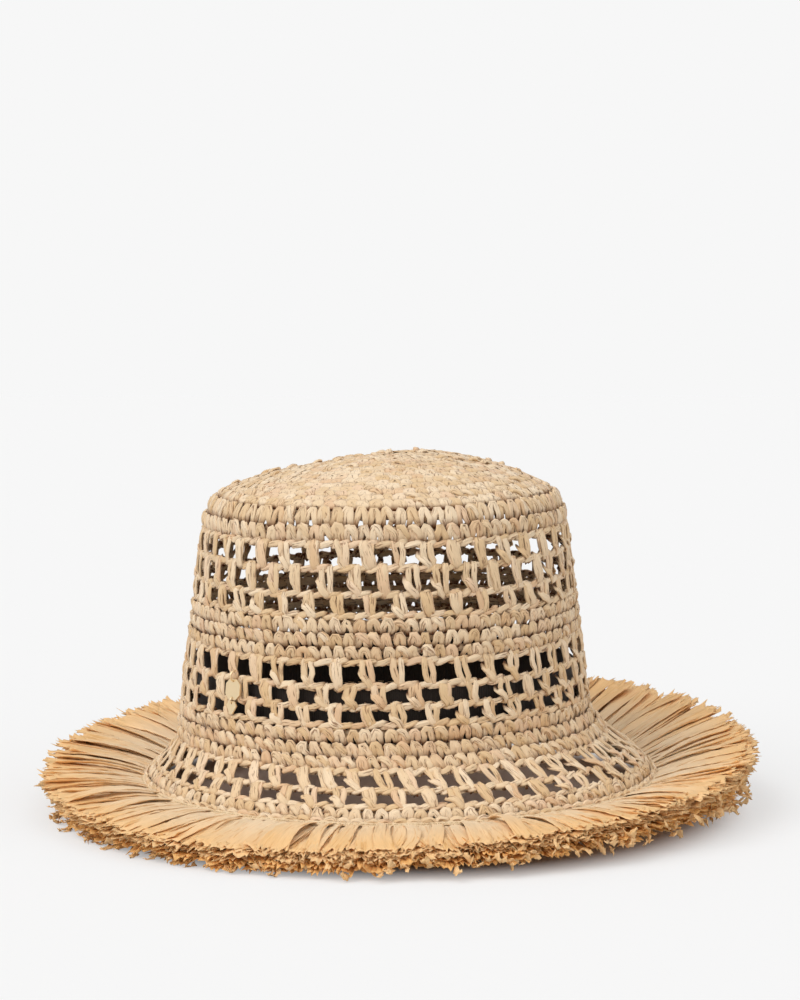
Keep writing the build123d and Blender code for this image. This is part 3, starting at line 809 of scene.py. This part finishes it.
# ---- inside ------------------------------------------------------------------------------------
class SUNHAT_OT_sweatband(bpy.types.Operator):
    """Lines the crown with a ribbon sweatband and sews it in"""
    bl_idname = "sunhat.sweatband"
    bl_label = "Sweatband"

    def execute(self, context):
        settings = context.scene.sun_hat
        ribbon = shared_material("black_grosgrain_woven", grosgrain, settings)
        thread = shared_material("polyester_thread_spun", sewing_thread, settings)
        low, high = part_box("sweatband")
        middle = (low[0] + high[0]) / 2
        outer = (high[0] - low[0]) / 2
        thickness = 0.7 * MM
        radius = outer - thickness / 2
        turns = centres_of(240)
        rows = np.linspace(0, 1, 12)
        t = turns[:, None]
        sag = 0.35 * MM * np.sin(9 * t) * rows + 0.2 * MM * np.sin(23 * t + 2) * rows
        r = radius - np.abs(sag)
        z = low[2] + (high[2] - low[2]) * rows + 0 * t
        points = np.stack([middle + r * np.cos(t), r * np.sin(t), z], -1)
        piece = band("sweatband_ribbon", points, radius, rows * (high[2] - low[2]), thickness)
        finish_piece(piece, "grosgrain", ribbon, "sweatband")
        random = np.random.default_rng(SEEDS["sweatband"])
        count = 110
        length = 3.2 * MM
        from_edge = 2.2 * MM
        turn = centres_of(count)[:, None] + np.linspace(-0.5, 0.5, 6) * length / radius
        dip = np.linspace(-1, 1, 6) ** 4 * 0.5 * MM
        rr = radius - thickness / 2 - 0.2 * MM + dip
        z = low[2] + from_edge + random.normal(0, 0.12 * MM, (count, 1)) + 0 * turn
        path = np.stack([middle + rr * np.cos(turn), rr * np.sin(turn), z], -1)
        inwards = np.stack([-np.cos(turn), -np.sin(turn), 0 * turn], -1)
        sew("sweatband_hand_stitches", path, inwards, 0.25 * MM, random, thread, "sweatband_stitching")
        return {"FINISHED"}


class SUNHAT_OT_charm(bpy.types.Operator):
    """Finishes the metal charm, whose pieces keep their CAD shapes"""
    bl_idname = "sunhat.charm"
    bl_label = "Charm"

    def execute(self, context):
        gold = shared_material("brass_gold_plated", gold_plate, context.scene.sun_hat)
        for node in ("charm_ring", "charm_plate", "charm_link", "charm_drop"):
            piece = frame["nodes"][node]
            piece.data.materials.clear()
            piece.data.materials.append(gold)
        return {"FINISHED"}


# ---- stage --------------------------------------------------------------------------------------
class SUNHAT_OT_stage(bpy.types.Operator):
    """Sets up the paper floor, the soft light and the camera"""
    bl_idname = "sunhat.stage"
    bl_label = "Stage"

    def execute(self, context):
        settings = context.scene.sun_hat
        scene = context.scene
        bpy.ops.mesh.primitive_plane_add(size=8.0, location=(0, 0, 0))
        floor = context.active_object
        floor.name = "paper_floor"
        floor.data.materials.append(studio_floor(settings))
        world = scene.world or bpy.data.worlds.new("studio")
        scene.world = world
        world.use_nodes = True
        tree = world.node_tree
        tree.nodes.clear()
        seen = add(tree, "ShaderNodeLightPath")
        towards = add(tree, "ShaderNodeTexCoord")
        up = add(tree, "ShaderNodeSeparateXYZ", Vector=towards.outputs["Generated"])
        bright = add(tree, "ShaderNodeMapRange", Value=up.outputs[2], From_Min=0.0, From_Max=1.0,
                     To_Min=settings.horizon * settings.sky, To_Max=settings.sky)
        walls = add(tree, "ShaderNodeMath", {"operation": "MULTIPLY_ADD"}, n0=seen.outputs["Is Glossy Ray"],
                    n1=settings.walls, n2=bright.outputs[0])
        lit = add(tree, "ShaderNodeBackground", Color=(1.0, 1.0, 1.0, 1.0), Strength=walls.outputs[0])
        shown = add(tree, "ShaderNodeBackground", Color=linear("#F7F7F7"), Strength=1.0)
        mixed = add(tree, "ShaderNodeMixShader", n0=seen.outputs["Is Camera Ray"], n1=lit.outputs[0],
                    n2=shown.outputs[0])
        add(tree, "ShaderNodeOutputWorld", Surface=mixed.outputs[0])
        # Name, strength, direction towards the lamp and its width in degrees.
        lamps = (("soft_key", settings.key, (-0.55, -0.42, 0.72), 50),
                 ("soft_fill", settings.fill, (0.65, -0.4, 0.65), 80))
        for name, strength, direction, width in lamps:
            light = bpy.data.lights.new(name, "SUN")
            light.energy = strength
            light.angle = math.radians(width)
            lamp = bpy.data.objects.new(name, light)
            lamp.rotation_euler = Vector(direction).to_track_quat("Z", "Y").to_euler()
            scene.collection.objects.link(lamp)
        view = bpy.data.cameras.new("camera")
        view.lens = settings.lens
        view.sensor_width = 36.0
        view.clip_start = 0.05
        camera = bpy.data.objects.new("camera", view)
        camera.location = (0.0, -settings.distance, settings.eye_height)
        camera.rotation_euler = (math.radians(90 - settings.tilt), 0, 0)
        scene.collection.objects.link(camera)
        scene.camera = camera
        scene.view_settings.view_transform = "Standard"
        scene.view_settings.look = "None"
        return {"FINISHED"}


# ---- settings, panel and registration -----------------------------------------------------------
def colour_setting(name, description, hex_colour):
    return FloatVectorProperty(name=name, description=description, subtype="COLOR", size=4, min=0.0, max=1.0,
                               default=linear(hex_colour))


class SunHatSettings(bpy.types.PropertyGroup):
    """Sizes and colours of the hat, and of the stage it stands on"""
    straw_light: colour_setting("Light straw", "Palest strands of the crochet", "#F1D9B8")
    straw_dark: colour_setting("Dark straw", "Deepest strands of the crochet", "#DEBC8E")
    straw_rosy: colour_setting("Rosy straw", "Tint of a strand here and there", "#E0B48F")
    # Painted shade: the dark brown mixed into the strands' ends and creases.
    straw_painted_shade: colour_setting("Tucked straw", "Strands where they go under others", "#78451A")
    ribbon_root: colour_setting("Ribbon root", "Fringe ribbons where they are sewn", "#FDE6C4")
    # Painted shade and glow: the deeper gold that the ribbons turn towards their ends.
    ribbon_tip: colour_setting("Ribbon tip", "Fringe ribbons at their ends", "#FBD196")
    # Painted shade: the deep golden colour mixed into the ribbons' folds.
    ribbon_fold_shade: colour_setting("Ribbon fold", "Deep golden lines in the ribbons' folds", "#E4AB62")
    # Painted shade and glow: the lowest layers' more saturated copy of the ribbon colours.
    shaded_under_root: colour_setting("Under ribbon root", "Under layer where it is sewn", "#FFDDA2")
    shaded_under_tip: colour_setting("Under ribbon tip", "Under layer's frayed ends", "#FFC87C")
    ribbon_black: colour_setting("Sweatband", "Black grosgrain", "#23170C")
    tape_cream: colour_setting("Tape", "Cotton tape", "#F2DDBE")
    thread_beige: colour_setting("Thread", "Sewing thread", "#E4CDA8")
    gold: colour_setting("Gold", "Plating of the charm", "#F7E0B8")
    paper: colour_setting("Paper", "Floor the hat stands on", "#EDEDED")
    crown_posts: IntProperty(name="Crown posts", description="Posts in each openwork round of the crown",
                             default=42, min=12)
    brim_posts: IntProperty(name="Brim posts", description="Posts in each openwork round of the brim",
                            default=54, min=12)
    fringe_length: FloatProperty(name="Fringe length", description="From the tape to the tips",
                                 default=RIBBON_LENGTH * MM, unit="LENGTH")
    fringe_layers: IntProperty(name="Fringe layers", description="Ribbons one above the other",
                               default=9, min=2)
    ribbons_per_layer: IntProperty(name="Ribbons per layer", description="Ribbons round the hat in a layer",
                                   default=215, min=12)
    flakes: IntProperty(name="Flakes", description="Loose flakes among the fringe's ends",
                        default=400, min=1)
    stitch_length: FloatProperty(name="Stitch length", description="Machine stitches on the tape",
                                 default=1.9 * MM, unit="LENGTH")
    sky: FloatProperty(name="Sky", description="Strength of the even light", default=0.68)
    horizon: FloatProperty(name="Horizon", description="Share of the sky's strength low down", default=0.54)
    walls: FloatProperty(name="Walls", description="Extra light that only reflections show", default=0.25)
    key: FloatProperty(name="Key", description="Strength of the soft key light", default=1.7)
    fill: FloatProperty(name="Fill", description="Strength of the soft fill light", default=0.65)
    lens: FloatProperty(name="Lens", description="Focal length of the camera", default=92.4)
    distance: FloatProperty(name="Distance", description="Camera to the hat's middle", default=1.2,
                            unit="LENGTH")
    eye_height: FloatProperty(name="Eye height", description="Camera above the floor", default=0.25,
                              unit="LENGTH")
    tilt: FloatProperty(name="Tilt", description="Degrees that the camera looks down", default=5.07)


class SUNHAT_PT_panel(bpy.types.Panel):
    """Lists the steps that make the hat"""
    bl_label = "Sun Hat"
    bl_space_type = "VIEW_3D"
    bl_region_type = "UI"
    bl_category = "Sun Hat"

    def draw(self, context):
        for step in STEPS:
            self.layout.operator(step.bl_idname)
        for name in SunHatSettings.__annotations__:
            self.layout.prop(context.scene.sun_hat, name)


STEPS = (SUNHAT_OT_stage, SUNHAT_OT_crown_tip, SUNHAT_OT_rounds, SUNHAT_OT_fringe, SUNHAT_OT_tape,
         SUNHAT_OT_sweatband, SUNHAT_OT_charm)
CLASSES = (SunHatSettings, SUNHAT_PT_panel) + STEPS


def register():
    for cls in CLASSES:
        bpy.utils.register_class(cls)
    bpy.types.Scene.sun_hat = PointerProperty(type=SunHatSettings)


def unregister():
    del bpy.types.Scene.sun_hat
    for cls in reversed(CLASSES):
        bpy.utils.unregister_class(cls)


def main():
    register()
    for step in STEPS:
        group, name = step.bl_idname.split(".")
        getattr(getattr(bpy.ops, group), name)()
    bpy.context.view_layer.update()


if __name__ == "__main__":
    main()
